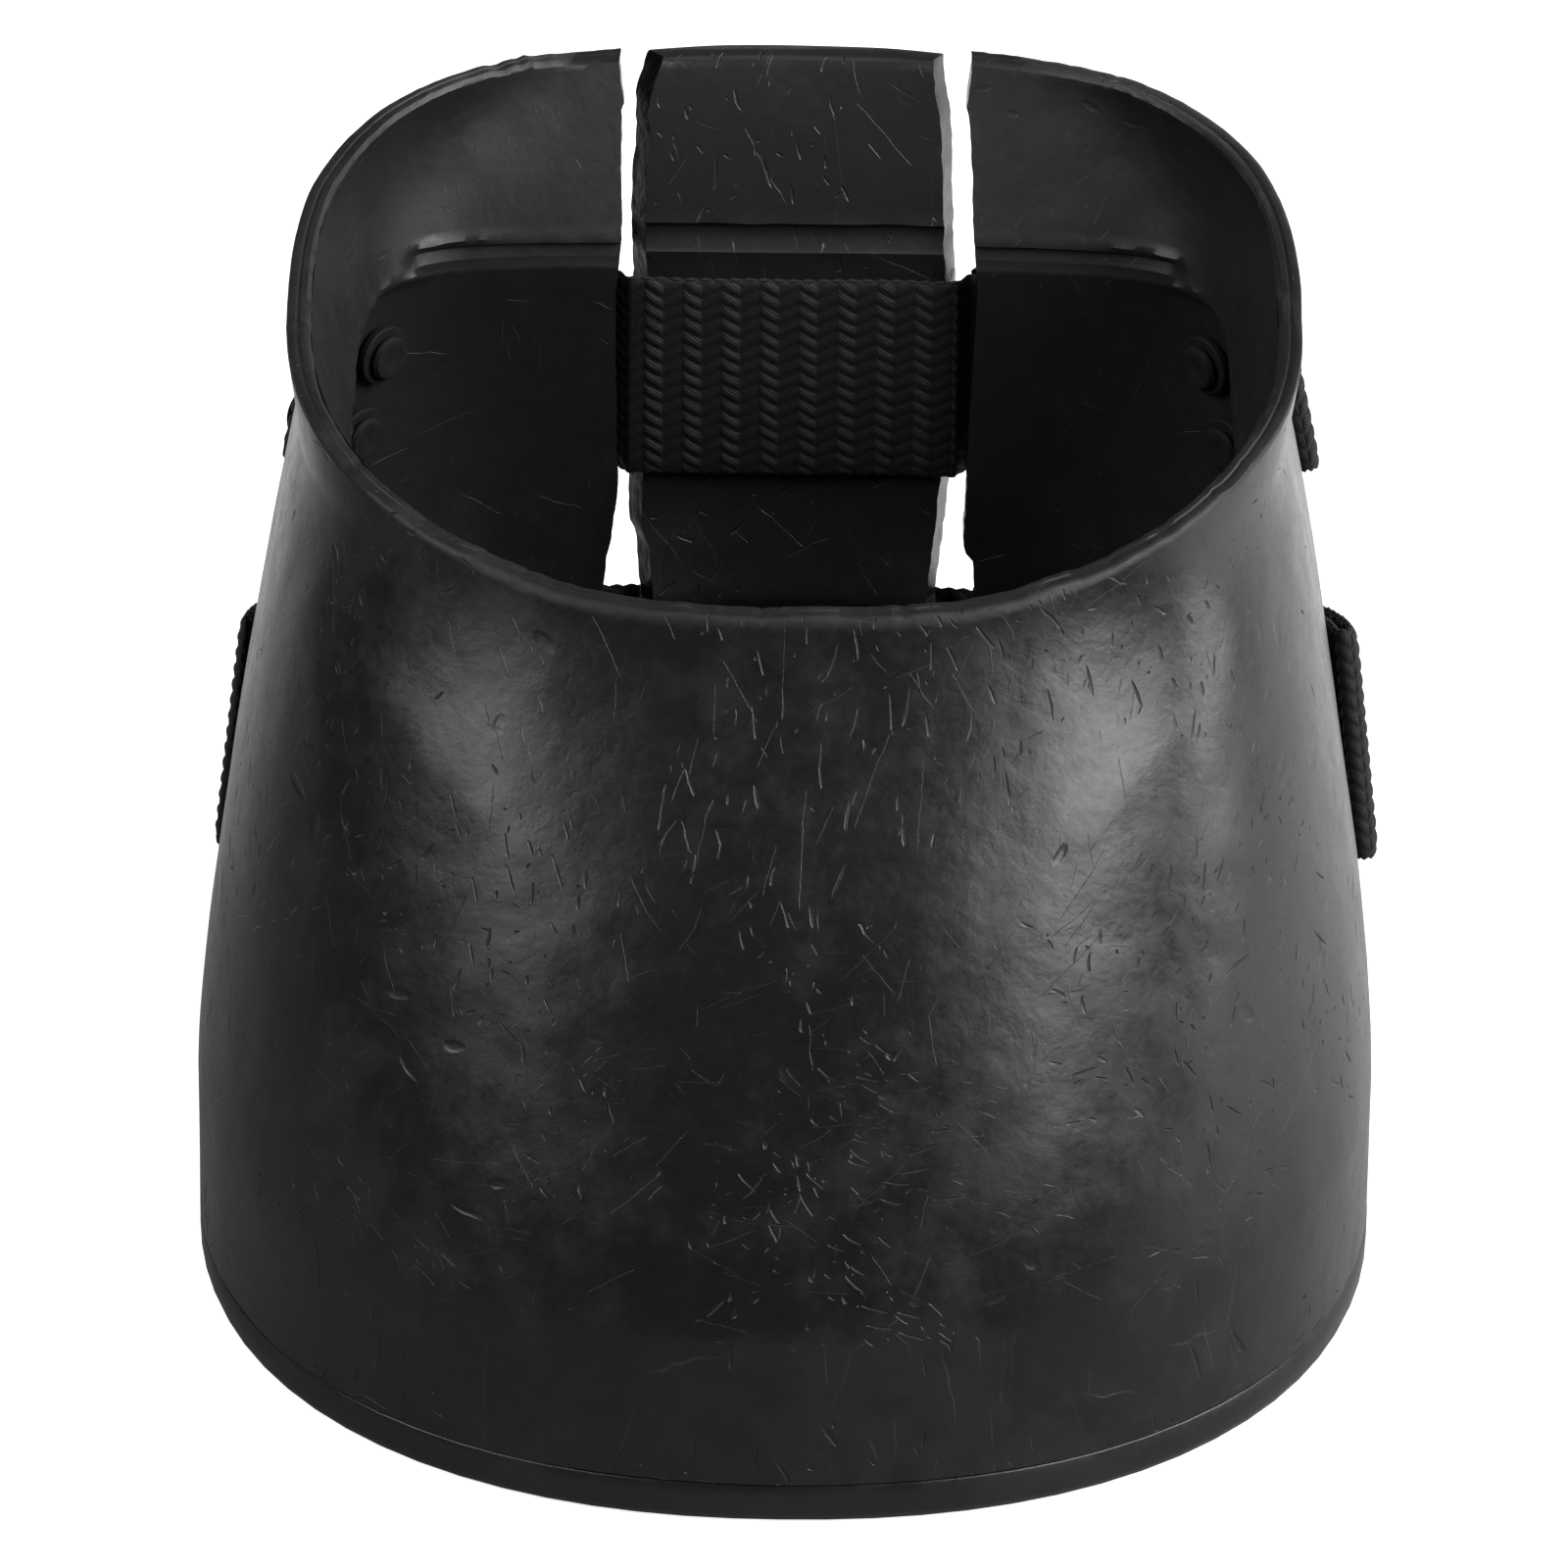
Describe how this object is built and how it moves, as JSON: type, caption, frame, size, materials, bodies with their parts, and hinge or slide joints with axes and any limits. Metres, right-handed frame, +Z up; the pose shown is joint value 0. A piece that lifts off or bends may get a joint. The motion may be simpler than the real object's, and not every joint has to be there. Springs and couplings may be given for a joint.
{
  "type": "horse hoof boot",
  "caption": "Pull-on moulded rubber hoof boot with a split heel tongue and riveted webbing straps that close on hook and loop through steel rings.",
  "frame": {"origin": "middle of the boot's base, on the ground face of the outsole", "axes": "+Z up, -Y towards the toe, +X to the side on which the straps close"},
  "size_m": [0.151, 0.1524, 0.1306],
  "materials": {
    "shell_rubber": "satin moulded black rubber",
    "sole_rubber": "matt black tread rubber",
    "black_webbing": "coarse woven polyester",
    "plated_steel": "nickel plated",
    "blackened_steel": "black oxide",
    "loop_pile": "napped loop pile",
    "hook_tape": "moulded nylon hooks on tape"
  },
  "bodies": {
    "shell": {"boot_shell": "shell_rubber", "outsole": "sole_rubber", "upper_strap": "black_webbing", "upper_ring_tab": "black_webbing", "upper_loop_patch": "loop_pile", "lower_strap": "black_webbing", "lower_ring_tab": "black_webbing", "lower_loop_patch": "loop_pile", "upper_strap_rivet_1": "blackened_steel", "upper_strap_washer_1": "blackened_steel", "upper_strap_rivet_2": "blackened_steel", "upper_strap_washer_2": "blackened_steel", "upper_tab_rivet_1": "blackened_steel", "upper_tab_washer_1": "blackened_steel", "upper_tab_rivet_2": "blackened_steel", "upper_tab_washer_2": "blackened_steel", "lower_strap_rivet_1": "blackened_steel", "lower_strap_washer_1": "blackened_steel", "lower_strap_rivet_2": "blackened_steel", "lower_strap_washer_2": "blackened_steel", "lower_tab_rivet_1": "blackened_steel", "lower_tab_washer_1": "blackened_steel", "lower_tab_rivet_2": "blackened_steel", "lower_tab_washer_2": "blackened_steel"},
    "tongue": {"heel_tongue": "shell_rubber"},
    "upper_tail": {"upper_strap_tail": "black_webbing", "upper_hook_patch": "hook_tape"},
    "lower_tail": {"lower_strap_tail": "black_webbing", "lower_hook_patch": "hook_tape"},
    "upper_ring": {"upper_ring": "plated_steel"},
    "lower_ring": {"lower_ring": "plated_steel"}
  },
  "joints": [
    {"name": "tongue_flex", "type": "hinge", "parent": "shell", "child": "tongue", "pos_m": [0, 0.06957, 0.05476], "axis": [-1, 0, 0], "range_deg": [0, 40], "stiffness_Nm_per_rad": 0.05, "springref_deg": -9.74},
    {"name": "upper_tail_peel", "type": "hinge", "parent": "shell", "child": "upper_tail", "pos_m": [0.04258, 0.07154, 0.08908], "axis": [0.345, -0.0345, -0.938], "range_deg": [0, 110]},
    {"name": "upper_ring_swing", "type": "hinge", "parent": "shell", "child": "upper_ring", "pos_m": [0.05137, 0.06438, 0.09258], "axis": [0.345, -0.0345, -0.938], "range_deg": [0, 3.5]},
    {"name": "lower_tail_peel", "type": "hinge", "parent": "shell", "child": "lower_tail", "pos_m": [0.05518, 0.06572, 0.04002], "axis": [0.2003, -0.2846, -0.9375], "range_deg": [0, 110]},
    {"name": "lower_ring_swing", "type": "hinge", "parent": "shell", "child": "lower_ring", "pos_m": [0.06082, 0.05613, 0.04414], "axis": [0.2003, -0.2846, -0.9375], "range_deg": [0, 3.5]}
  ]
}
